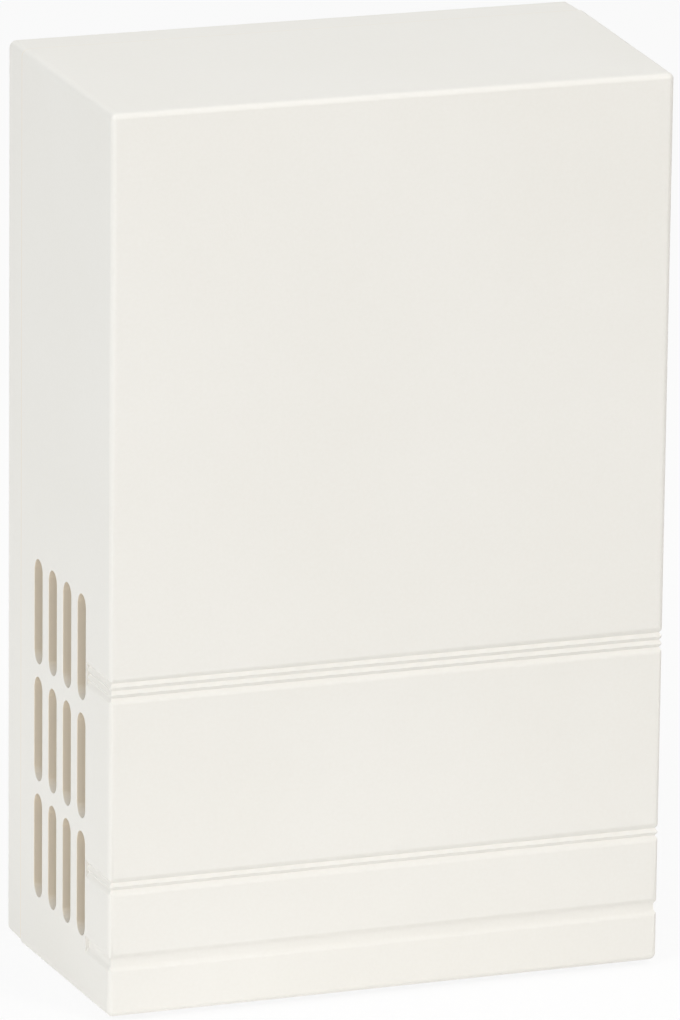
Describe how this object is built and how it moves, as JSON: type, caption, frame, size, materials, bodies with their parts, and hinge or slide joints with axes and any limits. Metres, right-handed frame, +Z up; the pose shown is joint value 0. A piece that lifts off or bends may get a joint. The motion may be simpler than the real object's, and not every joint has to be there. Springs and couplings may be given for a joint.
{
  "type": "door chime",
  "caption": "Wired ding-dong door chime in a drafted plastic wall case with side sound slots and a grooved front, holding a solenoid whose plunger strikes tone bars above and below it.",
  "frame": {"origin": "middle of the base's back face, on the wall", "axes": "+Y into the wall, so the front faces -Y; +Z up along the height; +X to the right seen from the front"},
  "size_m": [0.08, 0.041, 0.125],
  "materials": {
    "case_plastic": "cream moulded plastic with a fine matt texture",
    "natural_nylon": "natural nylon, satin",
    "copper_wire": "enamelled copper wire",
    "film_wrap": "yellow insulating film",
    "lead_insulation": "red soft insulation",
    "brass": "plain brass",
    "plated_steel": "zinc plated steel",
    "core_steel": "turned soft iron",
    "spring_steel": "drawn spring wire",
    "fibre": "red-brown vulcanised fibre",
    "bar_steel": "nickel plated steel bar",
    "grommet_rubber": "soft black rubber",
    "terminal_plastic": "cream moulded plastic"
  },
  "bodies": {
    "base": {"rear_base": "case_plastic", "coil_bobbin": "natural_nylon", "coil_winding": "copper_wire", "left_coil_lead": "copper_wire", "coil_wrap": "film_wrap", "right_coil_lead": "lead_insulation", "guide_tube": "brass", "left_terminal_plate": "brass", "right_terminal_plate": "brass", "solenoid_yoke": "plated_steel", "yoke_screws": "plated_steel", "terminal_block_screw": "plated_steel", "upper_bar_clips": "plated_steel", "lower_bar_clips": "plated_steel", "plunger_spring": "spring_steel", "spring_seat": "fibre", "upper_tone_bar": "bar_steel", "lower_tone_bar": "bar_steel", "upper_bar_grommets": "grommet_rubber", "lower_bar_grommets": "grommet_rubber", "terminal_block": "terminal_plastic"},
    "cover": {"front_cover": "case_plastic"},
    "plunger": {"plunger_core": "core_steel", "upper_striker": "natural_nylon", "lower_striker": "natural_nylon"},
    "left_clamp": {"left_clamp_washer": "brass"},
    "left_screw": {"left_terminal_screw": "brass"},
    "right_clamp": {"right_clamp_washer": "brass"},
    "right_screw": {"right_terminal_screw": "brass"}
  },
  "joints": [
    {"name": "cover_pull", "type": "slide", "parent": "base", "child": "cover", "axis": [0, -1, 0], "range_m": [0, 0.06]},
    {"name": "plunger_strike", "type": "slide", "parent": "base", "child": "plunger", "axis": [0, 0, 1], "range_m": [-0.0015, 0.008], "stiffness_N_per_m": 50, "springref_m": 0.00285, "deforming": ["plunger_spring"]},
    {"name": "left_clamp_lift", "type": "slide", "parent": "base", "child": "left_clamp", "axis": [0, -1, 0], "range_m": [0, 0.002]},
    {"name": "left_screw_turn", "type": "hinge", "parent": "left_clamp", "child": "left_screw", "pos_m": [-0.024, -0.0157, -0.052], "axis": [0, -1, 0], "range_deg": [0, 1441]},
    {"name": "right_clamp_lift", "type": "slide", "parent": "base", "child": "right_clamp", "axis": [0, -1, 0], "range_m": [0, 0.002]},
    {"name": "right_screw_turn", "type": "hinge", "parent": "right_clamp", "child": "right_screw", "pos_m": [-0.012, -0.0157, -0.052], "axis": [0, -1, 0], "range_deg": [0, 1441]}
  ],
  "couplings": [
    {"joint": "left_screw_turn", "follows": "left_clamp_lift", "rad_per_m": 12566},
    {"joint": "right_screw_turn", "follows": "right_clamp_lift", "rad_per_m": 12566}
  ]
}
